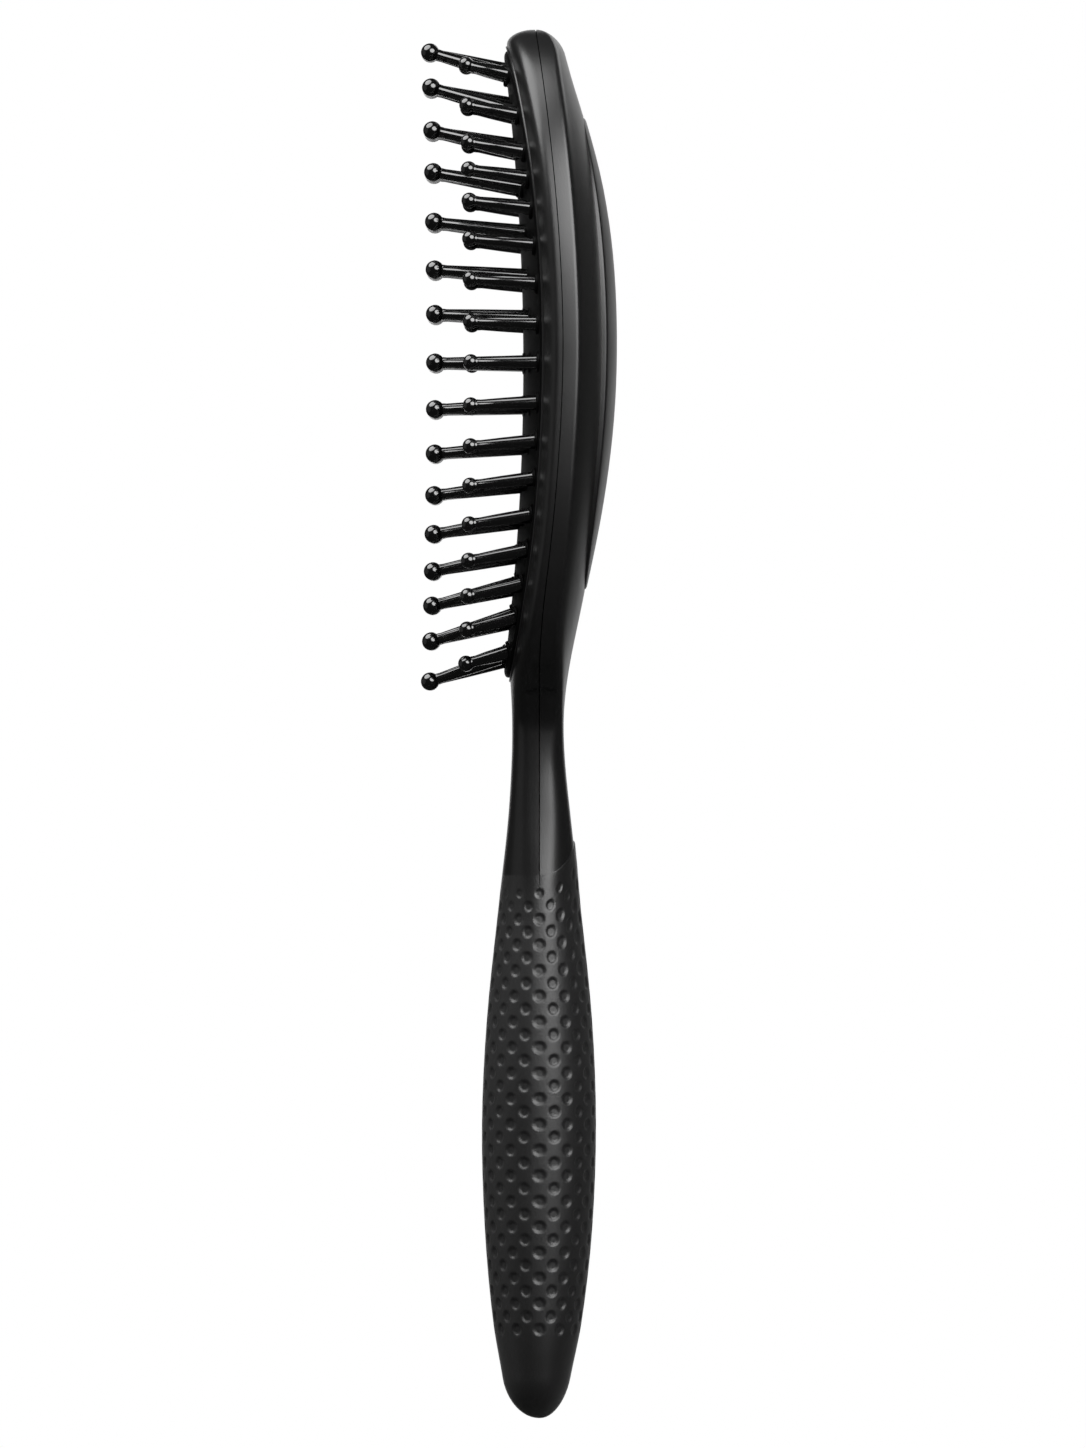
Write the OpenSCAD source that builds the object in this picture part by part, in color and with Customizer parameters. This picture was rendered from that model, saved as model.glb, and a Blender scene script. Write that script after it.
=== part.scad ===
// Detangling brush lying on its back: the handle points to -Y, the head to +Y, the pins to +Z.
// The origin is under the middle of the brush, at the lowest point of the head's back.

/* [Body] */
// Length from the tail of the handle to the tip of the head
body_len = 225; // [215:1:235]
// Depth from the back of the head to the front of the handle, without the pins
body_d = 22; // [21:0.25:24]
// Width across the oval head
head_w = 66; // [60:1:72]
// Length of the oval head
head_len = 108.4; // [104:0.2:112]
// Width of the neck
neck_w = 15.2; // [13:0.2:18]
// Width of the handle at its fullest place
handle_w = 23.5; // [21:0.5:27]
// Wall of the two shells
wall = 1.6; // [1.4:0.1:1.8]
// Parting gap between the front shell and the back shell
seam_gap = 0.12; // [0.06:0.02:0.2]
// Radius that rounds the tail
tail_r = 4.6; // [4:0.2:6]
// Radius that rounds the back of the head's tip
tip_r = 4; // [3.4:0.2:5]
// Radius that rounds the front of the head's tip
front_tip_r = 2.4; // [2:0.2:3]

/* [Head] */
// Height of the parting line above the back, at the middle of the head
seam_h = 8.7; // [8.3:0.1:9.1]
// How far the parting line rises from the middle of the head to its tip
seam_bow = 4.5; // [4:0.1:5]
// Height of the flat band between the parting line and the back's ridge
band_h = 3; // [2.4:0.1:3.4]
// Width of the rim between the head's outline and the cushion
rim_w = 4.5; // [4.3:0.1:5.2]
// Width of the rim at the tip and at the neck
rim_end = 3.1; // [3:0.1:3.6]

/* [Cushion] */
// Height of the cushion's crown above the back, at the middle of the head
crown_h = 15.2; // [14.9:0.1:15.8]
// How far the crown drops from the middle to each side
crown_drop_h = 3; // [2.6:0.1:3.4]
// How far the cushion rises from its middle to each end
crown_bow = 3.3; // [2.9:0.1:3.7]
// Thickness of the rubber skin that holds the pins
skin_t = 1.8; // [1.5:0.1:2]
// Thickness of the rubber wall round the cushion's edge
skirt_t = 1; // [0.8:0.1:1.1]
// Height of the cushion's flange above the back, at its underside
flange_h = 9.3; // [9.2:0.05:9.4]
// Thickness of the cushion's flange
flange_t = 1.2; // [1:0.05:1.25]
// Width of the ledge over the flange
ledge_w = 1.4; // [1.2:0.1:1.5]
// Thickness of the ring that holds the flange in the front shell
ring_t = 1.6; // [1.2:0.1:1.8]
// Free space round the rubber
rubber_gap = 0.3; // [0.25:0.05:0.3]
// Free space round the ring
ring_gap = 0.15; // [0.1:0.05:0.2]

/* [Pins] */
// Diameter of a long pin's ball
long_ball_d = 3; // [2.6:0.1:3.2]
// Diameter of a short pin's ball
short_ball_d = 2.6; // [2.2:0.1:2.7]
// Diameter of a pin's shaft under its ball
tip_d = 1.7; // [1.4:0.1:1.9]
// Diameter of a pin's shaft where it leaves the cushion
base_d = 2.4; // [2.1:0.1:2.5]
// Diameter of the root under the rubber skin
root_d = 3.4; // [3.3:0.1:3.6]
// Thickness of the root
root_t = 0.8; // [0.6:0.1:1]
// Free space round a pin in the rubber skin, in which it rocks
pin_gap = 0.3; // [0.28:0.02:0.36]
// Height of the long pins' balls above the back, at the middle of the head
long_h = 29.4; // [28:0.2:31]
// Height of the short pins' balls above the back, at the middle of the head
short_h = 23.6; // [22.4:0.2:25]
// How far the balls rise from the middle of the head to its ends
tip_rise = 1; // [0.6:0.1:1.4]
// Distance from the cushion's edge to the short pins, at its sides
edge_in = 3.4; // [3.3:0.1:3.8]
// Distance from the cushion's edge to the line of the short pins, at its ends
end_in = 2.6; // [2.5:0.1:3]
// How far a pin rocks each way, in degrees
rock_angle = 6; // [4:0.5:6]
// How far the bases of the outer pins in the end rows are drawn in
row_arc = 4; // [2:0.5:4]
// Lean of the first row towards the tip, in degrees
fan_top_angle = 14; // [11:0.5:14.5]
// Lean of the last row towards the handle, in degrees
fan_bottom_angle = 17; // [14:0.5:17.5]

/* [Grip] */
// Thickness of the soft grip skins
grip_t = 1; // [0.8:0.1:1.3]
// Bond line between a grip skin and its shell
grip_gap = 0.05; // [0.03:0.01:0.08]
// How much of the handle's length the grip covers on its side, from the tail
grip_share = 0.755; // [0.7:0.005:0.79]
// Height of the arch at the top of the back grip skin
arch_h = 5.6; // [3:0.2:7]
// Radius of the posts that join the two shells
post_r = 1.4; // [1.2:0.1:1.6]
// Free space round a post in its socket
post_gap = 0.15; // [0.1:0.05:0.2]

/* [Back cover] */
// Distance from each end of the head to the raised cover on its back, before it is moved up
cover_end = 15.95; // [13:0.05:19]
// Width of the raised cover
cover_w = 38; // [34:0.5:42]
// How far the cover's middle lies from the middle of the head, towards the tip
cover_up = 1.7; // [0:0.1:3]
// Height of the cover above the shell, at its middle
cover_proud = 0.9; // [0.7:0.05:0.9]
// Depth of the cover's seat in the shell
cover_seat = 0.6; // [0.4:0.05:0.7]
// Gap round the cover in its seat
cover_gap = 0.1; // [0.06:0.02:0.15]
// Radius of the cover's snap studs
stud_r = 1; // [0.8:0.1:1.2]

/* [Hidden] */

// Overrun of the cuts
over = 0.5;
// First step from a rounded end
end_step = 0.03;
// Width over which two outlines run into each other, in plan
plan_blend = 8;
// Height over which two profiles run into each other
profile_blend = 1.2;

shell_color = [0.1, 0.1, 0.105];
cover_color = [0.08, 0.08, 0.085];
rubber_color = [0.03, 0.03, 0.032];
grip_color = [0.06, 0.06, 0.062];
pin_color = [0.015, 0.015, 0.016];
ring_color = [0.2, 0.2, 0.21];

// Along the body these tables run from 0 at the tail over the head's end to 1 at the tip.
handle_share = 0.5182;
// Height of the back's middle line, as a share of the depth
back_shares = [
    [0, 0.395], [0.0245, 0.355], [0.07, 0.26], [0.135, 0.184], [0.211, 0.155],
    [0.287, 0.184], [0.373, 0.273], [0.43, 0.338], [0.475, 0.384], [0.507, 0.391],
    [0.54, 0.353], [0.597, 0.236], [0.661, 0.125], [0.72, 0.06], [0.777, 0.041],
    [0.835, 0.062], [0.885, 0.125], [0.93, 0.227], [0.965, 0.334], [1, 0.432]];
// Height of the front's middle line, as a share of the depth
front_shares = [
    [0, 0.8], [0.0245, 0.832], [0.07, 0.913], [0.135, 0.973], [0.211, 0.995],
    [0.287, 0.959], [0.373, 0.868], [0.43, 0.804], [0.475, 0.776], [0.507, 0.774],
    [0.54, 0.79], [0.6, 0.803], [1, 0.814]];
// Half width of neck and handle: 0 is the neck's own, 1 the handle's fullest
stem_shares = [
    [0, 0.02], [0.0245, 0.16], [0.049, 0.41], [0.0706, 0.58], [0.135, 0.86], [0.211, 1],
    [0.287, 0.89], [0.373, 0.51], [0.43, 0.25], [0.475, 0.06], [0.5, 0.04],
    [0.518, 0.45], [0.528, 0.92], [0.539, 1.5], [0.555, 2], [1, 2]];
// Height of the parting line in the neck and handle, as a share of the depth
stem_seam_share = 0.571;

// Rows of long pins along the cushion, from its neck end, and the same for the short pins
long_row_shares = [
    0.966, 0.912, 0.847, 0.784, 0.71, 0.639, 0.573, 0.501, 0.433, 0.368,
    0.307, 0.25, 0.195, 0.144, 0.091, 0.031];
short_row_shares = [
    0.958, 0.893, 0.835, 0.793, 0.745, 0.687, 0.626, 0.562, 0.501, 0.437,
    0.376, 0.317, 0.259, 0.204, 0.15, 0.098, 0.044];

// Middle of the parting line's bow, as a share of the half head past its middle
seam_mid_share = 0.057;
// Where the handle's hollow stops, and where the sections get close at the neck and end being so
hollow_stop_share = 0.375;
neck_steps_shares = [0.5, 0.585];
// Length over which the back grip's edge arches, as a share of the grip
arch_reach_share = 0.2;
// Places of the joining posts along the body
post_shares = [0.05, 0.11, 0.17, 0.23, 0.29, 0.35, 0.43, 0.485];
// Where the shell's section turns from the flat head to the neck, and from the neck to the grip
head_turn_shares = [0.58, 0.47];
grip_turn_shares = [0.46, 0.37];
// Squareness of the sections: 2 is an ellipse, more is squarer
head_front_power = 5;
head_back_power = 14;
neck_power = 3.2;
grip_power = 2.15;
oval_power = 2.6;
// Most of the front height that the crown may take, at a narrow place
most_crown_share = 0.62;
// How much the cover's height falls to its ends
cover_fall_share = 0.75;
// Where the cover's studs stand in its outline
stud_ring_share = 0.78;
// Taper of the posts and studs
taper_share = 0.8;
// Power of the parting line's bow
bow_power = 1.8;

// Steps round half a section, and round an oval
side_steps = 22;
oval_steps = 72;
// Steps along the tail, the handle, the two parts of the neck, the head and its tip
tail_count = 6;
handle_count = 12;
neck_counts = [9, 11];
head_count = 12;
tip_count = 7;
// How much of a quarter turn the close steps at the tip take
tip_angle = 35;
// Steps across half a slab of the cushion
slab_count = 8;
// Number of the cover's studs
stud_count = 8;
// Steps of the cover across and along
cover_across = 12;
cover_along = 20;
// Steps along the air space, and the angle that cuts off its ends
air_along = 24;
end_angle = 4;
// Segments in a full turn of the lengthwise bend, a pin, a post and a stud
bend_fn = 240;
pin_fn = 32;
post_fn = 24;
stud_fn = 20;

tail_y = -body_len / 2;
tip_y = body_len / 2;
head_hw = head_w / 2;
head_hl = head_len / 2;
head_mid = tip_y - head_hl;
head_end = head_mid - head_hl;
seam_mid = head_mid + head_hl * seam_mid_share;
pad_hw = head_hw - rim_w;
pad_hl = head_hl - rim_end;
pad_end = head_mid - pad_hl;
grip_len = (head_end - tail_y) * grip_share;
grip_y = tail_y + grip_len;
grip_inset = grip_t + grip_gap;
cover_mid = head_mid + cover_up;
cover_hl = head_hl - cover_end;
// Radius of the cushion's lengthwise bend, and of its crown across
bend_r = (pad_hl * pad_hl + crown_bow * crown_bow) / (2 * crown_bow);
crown_r = (pad_hw * pad_hw + crown_drop_h * crown_drop_h) / (2 * crown_drop_h);
// Height of the bend's centre line
bend_z = crown_h + bend_r;
ledge_h = flange_h + flange_t + rubber_gap;
ring_top = flange_h - rubber_gap;

// The tables keep to the handle and to the head, whatever their lengths
function share_along(y) =
    y < head_end ? handle_share * (y - tail_y) / (head_end - tail_y)
    : handle_share + (1 - handle_share) * (y - head_end) / head_len;
function along(share) =
    share < handle_share ? tail_y + (head_end - tail_y) * share / handle_share
    : head_end + head_len * (share - handle_share) / (1 - handle_share);
function mix(a, b, k) = a + (b - a) * k;
function clamp01(k) = max(0, min(1, k));
function ease(k) = k * k * (3 - 2 * k);
function turn(y, shares) = ease(clamp01((share_along(y) - shares[0]) / (shares[1] - shares[0])));
function blend_part(a, b, w) = pow(max(w - abs(a - b), 0) / w, 2) * w / 4;
function soft_min(a, b, w) = min(a, b) - blend_part(a, b, w);
function soft_max(a, b, w) = max(a, b) + blend_part(a, b, w);

// A smooth curve through a table's points
function span_of(table, t, i = 0) =
    i >= len(table) - 2 || t < table[i + 1][0] ? i : span_of(table, t, i + 1);
function rise(table, i, j) = (table[j][1] - table[i][1]) / (table[j][0] - table[i][0]);
function slope_at(table, i) = rise(table, max(i - 1, 0), min(i + 1, len(table) - 1));
function curve(table, t) =
    let (i = span_of(table, t),
         step = table[i + 1][0] - table[i][0],
         u = (t - table[i][0]) / step)
    mix(table[i][1], table[i + 1][1], ease(u))
    + step * u * (1 - u) * ((1 - u) * slope_at(table, i) - u * slope_at(table, i + 1));

// 0 at a rounded end, 1 past its radius
function round_end(s, r) = s >= r ? 1 : sqrt(max(0, 1 - pow(1 - max(s, 0) / r, 2)));
function ends(y, inset, tip) =
    round_end(y - tail_y - inset, tail_r - inset) * round_end(tip_y - y - inset, tip - inset);

function oval_hw(y, mid, hw, hl) =
    hw * pow(1 - pow(min(1, abs(y - mid) / hl), oval_power), 1 / oval_power);
function stem_hw(y) = mix(neck_w, handle_w, curve(stem_shares, share_along(y))) / 2;
function half_w(y, inset) =
    let (oval = oval_hw(y, head_mid, head_hw - inset, head_hl - inset))
    y > head_mid ? oval
    : soft_max(oval, stem_hw(y) - inset, plan_blend)
        * round_end(y - tail_y - inset, tail_r - inset);

function seam_arc(y) =
    seam_h + seam_bow * pow(abs(y - seam_mid) / (tip_y - seam_mid), bow_power);
function seam_z(y) =
    y > seam_mid ? seam_arc(y) : soft_min(seam_arc(y), stem_seam_share * body_d, profile_blend);
function crown_z(y) = bend_z - sqrt(max(0, bend_r * bend_r - pow(y - head_mid, 2)));
function front_line(y) =
    let (top = curve(front_shares, share_along(y)) * body_d)
    y > head_end - rim_w ? soft_min(crown_z(y), top, profile_blend) : top;
function back_line(y) = curve(back_shares, share_along(y)) * body_d;
function front_total(y, inset) =
    (front_line(y) - seam_z(y) - seam_gap / 2 - inset) * ends(y, inset, front_tip_r);
function back_total(y, inset) =
    (seam_z(y) - seam_gap / 2 - back_line(y) - inset) * ends(y, inset, tip_r);

// A half section's height at share c of its half width: a squared side and a crown
function rib_z(c, side, crown, power) =
    side * pow(1 - pow(abs(c), power), 1 / power) + crown * (1 - c * c);
function power_at(y, head_power) =
    mix(mix(head_power, neck_power, turn(y, head_turn_shares)), grip_power,
        turn(y, grip_turn_shares));
function front_z(y, c, inset) =
    let (total = front_total(y, inset),
         wide = half_w(y, inset) / pad_hw,
         crown = (1 - turn(y, head_turn_shares))
            * min(crown_drop_h * wide * wide, most_crown_share * total))
    seam_z(y) + seam_gap / 2 + rib_z(c, total - crown, crown, power_at(y, head_front_power));
function back_z(y, c, inset) =
    let (total = back_total(y, inset),
         band = min((band_h - inset) * ends(y, inset, tip_r), total),
         side = mix(band, total, turn(y, head_turn_shares)))
    seam_z(y) - seam_gap / 2 - rib_z(c, side, total - side, power_at(y, head_back_power));

// Places of the sections: close together where the outline turns fast
function steps_between(a, b, n) = [for (i = [1 : n]) mix(a, b, i / n)];
function tail_steps(start) =
    [for (i = [0 : tail_count]) start + end_step + tail_r * (1 - cos(90 * i / tail_count))];
function tip_steps(stop) =
    [for (i = [tip_count : -1 : 0])
        stop - end_step - head_hl * (1 - cos(tip_angle * i / tip_count))];
function handle_steps(start, stop) =
    let (first = tail_steps(start))
    concat(first, steps_between(first[len(first) - 1], stop, handle_count));
function neck_steps(start) = concat(
    steps_between(start, along(neck_steps_shares[0]), neck_counts[0]),
    steps_between(along(neck_steps_shares[0]), along(neck_steps_shares[1]), neck_counts[1]));
function head_steps(start, stop) =
    let (last = tip_steps(stop))
    concat(steps_between(start, last[0], head_count), [for (i = [1 : len(last) - 1]) last[i]]);

// The back grip skin's arch lifts the sections near its top edge
function arch_weight(y) = clamp01(1 - abs(y - grip_y) / (grip_len * arch_reach_share));
function arched(y, c) = y + arch_h * arch_weight(y) * (1 - c * c);
function round_side(i) = cos(180 * i / side_steps);
function front_ring(y, inset) =
    [for (i = [0 : side_steps])
        let (c = round_side(i))
        [half_w(y, inset) * c, y, front_z(y, c, inset)]];
function back_ring(y, inset, arch = 0) =
    [for (i = [0 : side_steps])
        let (c = round_side(i), at = mix(y, arched(y, c), arch))
        [half_w(at, inset) * c, at, back_z(at, c, inset)]];

// A closed solid through rings of equal counts; turned says that the rings run the other way
module loft(rings, turned) {
    n = len(rings[0]);
    last = len(rings) - 1;
    sides = [for (j = [0 : last - 1], i = [0 : n - 1])
        let (a = j * n + i, b = j * n + (i + 1) % n)
        each [[a, a + n, b], [b, a + n, b + n]]];
    caps = [for (i = [1 : n - 2])
        each [[0, i, i + 1], [last * n, last * n + i + 1, last * n + i]]];
    faces = concat(sides, caps);
    polyhedron(
        points = [for (ring = rings) each ring],
        faces = turned ? faces : [for (f = faces) [f[0], f[2], f[1]]]);
}

// A half bowl between an outer and an inner set of rings, closed at the tail, open at the seam
module half_bowl(outer, inner, turned) {
    n = len(outer[0]);
    rows = len(outer);
    shift = n * rows;
    grid = [for (j = [0 : rows - 2], i = [0 : n - 2])
        let (a = j * n + i, c = a + shift)
        each [[a, a + n, a + 1], [a + 1, a + n, a + n + 1],
              [c, c + 1, c + n], [c + 1, c + n + 1, c + n]]];
    seams = [for (j = [0 : rows - 2])
        let (a = j * n, b = j * n + n - 1)
        each [[a, a + shift, a + n], [a + n, a + shift, a + n + shift],
              [b, b + n, b + shift], [b + n, b + n + shift, b + shift]]];
    top = [for (i = [0 : n - 2])
        let (a = (rows - 1) * n + i)
        each [[a, a + shift, a + 1], [a + 1, a + shift, a + shift + 1]]];
    tail = concat(
        [for (i = [1 : n - 2]) each [[0, i, i + 1], [shift, shift + i + 1, shift + i]]],
        [[0, n - 1, shift], [n - 1, shift + n - 1, shift]]);
    faces = concat(grid, seams, top, tail);
    polyhedron(
        points = concat([for (ring = outer) each ring], [for (ring = inner) each ring]),
        faces = turned ? faces : [for (f = faces) [f[0], f[2], f[1]]]);
}

// Ovals in plan
function oval(mid, hw, hl) =
    [for (i = [0 : oval_steps - 1])
        let (a = 360 * i / oval_steps, c = cos(a), s = sin(a))
        [hw * sign(c) * pow(abs(c), 2 / oval_power),
         mid + hl * sign(s) * pow(abs(s), 2 / oval_power)]];
module oval_prism(mid, hw, hl, low, high) {
    translate([0, 0, low])
        linear_extrude(high - low)
            polygon(oval(mid, hw, hl));
}
// Everything inside the cushion's opening, drawn in by a gap
module pad_prism(gap) {
    oval_prism(head_mid, pad_hw - gap, pad_hl - gap, -over, crown_h + 2 * crown_bow + over);
}

// A slab bent along the head, between two heights that hold at its middle.
// With a crown its top or underside drops to the sides as the cushion does.
function crown_fall(x) = crown_r - sqrt(crown_r * crown_r - x * x);
function slab_edge(h, crowned) =
    [for (i = [-slab_count : slab_count])
        let (x = pad_hw * i / slab_count)
        [bend_z - h + (crowned ? crown_fall(x) : 0), x]];
function reversed(list) = [for (i = [len(list) - 1 : -1 : 0]) list[i]];
bend_half_angle = asin((pad_hl + rim_w) / bend_r);
module bend(profile) {
    translate([0, head_mid, bend_z])
        rotate([0, 90, 0])
            rotate([0, 0, -bend_half_angle])
                rotate_extrude(angle = 2 * bend_half_angle, $fn = bend_fn)
                    polygon(profile);
}
module crowned_slab(low, high, low_crowned) {
    bend(concat(slab_edge(high, true), reversed(slab_edge(low, low_crowned))));
}
module flat_slab(low, high) {
    reach = head_hw + over;
    bend([[bend_z - high, -reach], [bend_z - low, -reach],
          [bend_z - low, reach], [bend_z - high, reach]]);
}

// Pins: each is [foot x, foot y, foot z, ball y, ball z]
function row_y(share) = pad_end + share * 2 * pad_hl;
function fan_at(y) =
    let (u = (y - head_mid) / pad_hl)
    u > 0 ? fan_top_angle * u : fan_bottom_angle * u;
function surface_z(x, y) =
    bend_z - sqrt(pow(bend_r + crown_fall(x), 2) - pow(y - head_mid, 2));
function row_hw(y) = oval_hw(y, head_mid, pad_hw, pad_hl) - edge_in;
function short_x(y) = oval_hw(y, head_mid, pad_hw - edge_in, pad_hl - end_in);
function ball_z(y, h) = h + tip_rise * pow((y - head_mid) / pad_hl, 2);
function ball_y(y, h) = y + (ball_z(y, h) - surface_z(0, y)) * tan(fan_at(y));
function drawn_in(y, x) =
    let (u = (y - head_mid) / pad_hl)
    y - row_arc * u * abs(u) * pow(x / row_hw(y), 2);
function pin(x, y, h) =
    let (foot = drawn_in(y, x))
    [x, foot, surface_z(x, foot), ball_y(y, h), ball_z(y, h)];
function long_row(k) =
    let (y = row_y(long_row_shares[k - 1]),
         side = row_hw(y),
         reach = k == 1 || k == len(long_row_shares) ? 1 : 2)
    [for (j = [-reach : reach]) pin(j * side / (reach + 1), y, long_h)];
function short_row(k) =
    let (y = row_y(short_row_shares[k - 1]), x = short_x(y), h = ball_z(y, short_h))
    [for (s = [-1, 1])
        [s * x, y, surface_z(x, y), y + (h - surface_z(x, y)) * tan(fan_at(y)), h]];

// Puts its children on a pin's axis: the foot at zero, the ball up along Z
module on_pin(p) {
    translate([p[0], p[1], p[2]])
        rotate([atan2(p[1] - p[3], p[4] - p[2]), 0, 0])
            children();
}
function pin_len(p) = norm([p[3] - p[1], p[4] - p[2]]);
// The most that a pin leans from the rubber skin's own direction, when it rocks
most_lean = fan_bottom_angle + asin(pad_hl / bend_r) + rock_angle;
// Depth of the root's top under the foot
root_depth = skin_t / cos(most_lean) + root_d / 2 * tan(most_lean) + rubber_gap / 2;
// Half a pin's outline from the middle of its root's underside to the middle of its ball
function pin_outline(p) = [
    [0, -root_depth - root_t], [root_d / 2, -root_depth - root_t],
    [root_d / 2, -root_depth], [base_d / 2, -root_depth],
    [base_d / 2, rubber_gap], [tip_d / 2, pin_len(p)], [0, pin_len(p)]];
module pin_solid(p, ball_d) {
    on_pin(p) {
        rotate_extrude($fn = pin_fn)
            polygon(pin_outline(p));
        translate([0, 0, pin_len(p)])
            sphere(d = ball_d, $fn = pin_fn);
    }
}
module pin_bore(p) {
    on_pin(p)
        translate([0, 0, -root_depth - root_t])
            cylinder(d = base_d + 2 * pin_gap, h = root_depth + root_t + root_d, $fn = pin_fn);
}

function two_digits(k) = k < 10 ? str("0", k) : str(k);
function long_name(k) = str("long_pin_row_", two_digits(k));
function short_name(k) = str("short_pin_pair_", two_digits(k));

// The handle's core ends short of the tail by the grip skin; its sections match the skin's
core_tail = tail_y + grip_inset;
outer_grip_steps = handle_steps(tail_y, grip_y);
core_grip_steps = handle_steps(core_tail, grip_y);
hollow_tail = core_tail + wall;
hollow_stop = along(hollow_stop_share);
hollow_inset = grip_inset + wall;
hollow_steps = handle_steps(hollow_tail, hollow_stop);
body_steps = concat(
    [grip_y], neck_steps(grip_y), head_steps(along(neck_steps_shares[1]), tip_y));

module post(share, r, top, foot) {
    y = along(share);
    translate([0, y, 0])
        hull() {
            translate([0, 0, foot])
                cylinder(r = r * taper_share, h = over, $fn = post_fn);
            translate([0, 0, top - over])
                cylinder(r = r, h = over, $fn = post_fn);
        }
}
module front_shell() {
    color(shell_color)
        difference() {
            union() {
                difference() {
                    loft(concat([for (y = core_grip_steps) front_ring(y, grip_inset)],
                                [for (y = body_steps) front_ring(y, 0)]), false);
                    front_hollow();
                }
                for (share = post_shares)
                    post(share, post_r, front_z(along(share), 0, hollow_inset) + wall / 2,
                         seam_z(along(share)) - wall);
            }
            pad_prism(0);
            seat(-over, ledge_h);
        }
}
// A ring carried past the parting line, for a hollow that opens there
function opened(ring, past) =
    let (first = ring[0], last = ring[len(ring) - 1])
    concat(ring, [[last[0], last[1], last[2] + past], [first[0], first[1], first[2] + past]]);
// The seat of the cushion's flange and of the ring, cut in both shells
module seat(low, high) {
    intersection() {
        pad_prism(-ledge_w);
        flat_slab(low, high);
    }
}
module front_hollow() {
    loft([for (y = hollow_steps) opened(front_ring(y, hollow_inset), -over)], false);
}
module back_shell() {
    color(shell_color)
        difference() {
            union() {
                difference() {
                    loft(concat([for (y = core_grip_steps) back_ring(y, grip_inset, 1)],
                                [for (y = body_steps) back_ring(y, 0, 1)]), true);
                    back_hollow();
                    head_hollow();
                }
                for (share = post_shares)
                    boss(share);
            }
            for (share = post_shares)
                post(share, post_r + post_gap, seam_z(along(share)) + over,
                     seam_z(along(share)) - wall - post_gap);
            cover_recess();
            seat(ring_top - ring_t - ring_gap, ledge_h);
            for (i = [0 : stud_count - 1])
                stud(i, stud_r + cover_gap, over);
        }
}
module boss(share) {
    y = along(share);
    low = back_z(y, 0, hollow_inset) - wall / 2;
    translate([0, y, 0])
        hull() {
            translate([0, 0, low])
                cylinder(r = (post_r + wall) / taper_share, h = over, $fn = post_fn);
            translate([0, 0, seam_z(y) - seam_gap / 2 - over])
                cylinder(r = post_r + wall, h = over, $fn = post_fn);
        }
}
module back_hollow() {
    loft([for (y = hollow_steps) opened(back_ring(y, hollow_inset), over)], true);
}
// The air space under the cushion; its floor keeps the wall over the back of the head
air_hw = pad_hw + rubber_gap;
air_hl = pad_hl + rubber_gap;
air_steps = [for (i = [0 : air_along])
    head_mid - air_hl * cos(mix(end_angle, 180 - end_angle, i / air_along))];
function air_ring(y) =
    let (w = oval_hw(y, head_mid, air_hw, air_hl))
    concat(
        [for (i = [0 : side_steps])
            let (x = w * round_side(i))
            [x, y, back_z(y, x / half_w(y, 0), 0) + wall]],
        [[-w, y, seam_z(y) + over], [w, y, seam_z(y) + over]]);
module head_hollow() {
    loft([for (y = air_steps) air_ring(y)], true);
}

// A blanket that follows the back of the head, from a depth inside it to a lift outside it
function cover_height(y) =
    cover_proud * (1 - cover_fall_share * pow((y - cover_mid) / cover_hl, 2));
function blanket_z(x, y) = back_z(y, x / half_w(y, 0), 0);
function blanket_x(i) = (cover_w / 2 + over) * (1 - 2 * i / cover_across);
cover_steps = [for (i = [0 : cover_along])
    cover_mid + (cover_hl + over) * (2 * i / cover_along - 1)];
function blanket_ring(y, deep, lift) = concat(
    [for (i = [0 : cover_across]) [blanket_x(i), y, blanket_z(blanket_x(i), y) + deep]],
    [for (i = [cover_across : -1 : 0]) [blanket_x(i), y, blanket_z(blanket_x(i), y) - lift]]);
module cover_prism(gap) {
    oval_prism(cover_mid, cover_w / 2 + gap, cover_hl + gap, -body_d, body_d);
}
module cover_recess() {
    intersection() {
        cover_prism(cover_gap);
        loft([for (y = cover_steps) blanket_ring(y, cover_seat, over)], false);
    }
}
function stud_place(i) =
    let (a = (2 * i + 1) * 180 / stud_count)
    [cos(a) * cover_w / 2 * stud_ring_share, cover_mid + sin(a) * cover_hl * stud_ring_share];
module stud(i, r, extra) {
    p = stud_place(i);
    c = p[0] / half_w(p[1], 0);
    low = back_z(p[1], c, 0);
    translate([p[0], p[1], 0])
        hull() {
            translate([0, 0, low - extra])
                cylinder(r = r, h = cover_seat + extra, $fn = stud_fn);
            translate([0, 0, low + wall + cover_seat])
                cylinder(r = r * taper_share, h = cover_seat + extra, $fn = stud_fn);
        }
}
module back_cover() {
    color(cover_color)
        union() {
            intersection() {
                cover_prism(0);
                loft([for (y = cover_steps)
                    blanket_ring(y, cover_seat - cover_gap, cover_height(y))], false);
            }
            for (i = [0 : stud_count - 1])
                stud(i, stud_r, 0);
        }
}
module cushion() {
    color(rubber_color)
        difference() {
            union() {
                intersection() {
                    crowned_slab(flange_h, crown_h, false);
                    pad_prism(rubber_gap);
                }
                intersection() {
                    flat_slab(flange_h, flange_h + flange_t);
                    pad_prism(rubber_gap - ledge_w);
                }
            }
            intersection() {
                crowned_slab(flange_h - over, crown_h - skin_t, false);
                pad_prism(rubber_gap + skirt_t);
            }
            for (k = [1 : len(long_row_shares)], p = long_row(k))
                pin_bore(p);
            for (k = [1 : len(short_row_shares)], p = short_row(k))
                pin_bore(p);
        }
}
module cushion_retainer() {
    color(ring_color)
        difference() {
            intersection() {
                flat_slab(ring_top - ring_t, ring_top);
                pad_prism(ring_gap - ledge_w);
            }
            pad_prism(rubber_gap + skirt_t);
        }
}
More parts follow.
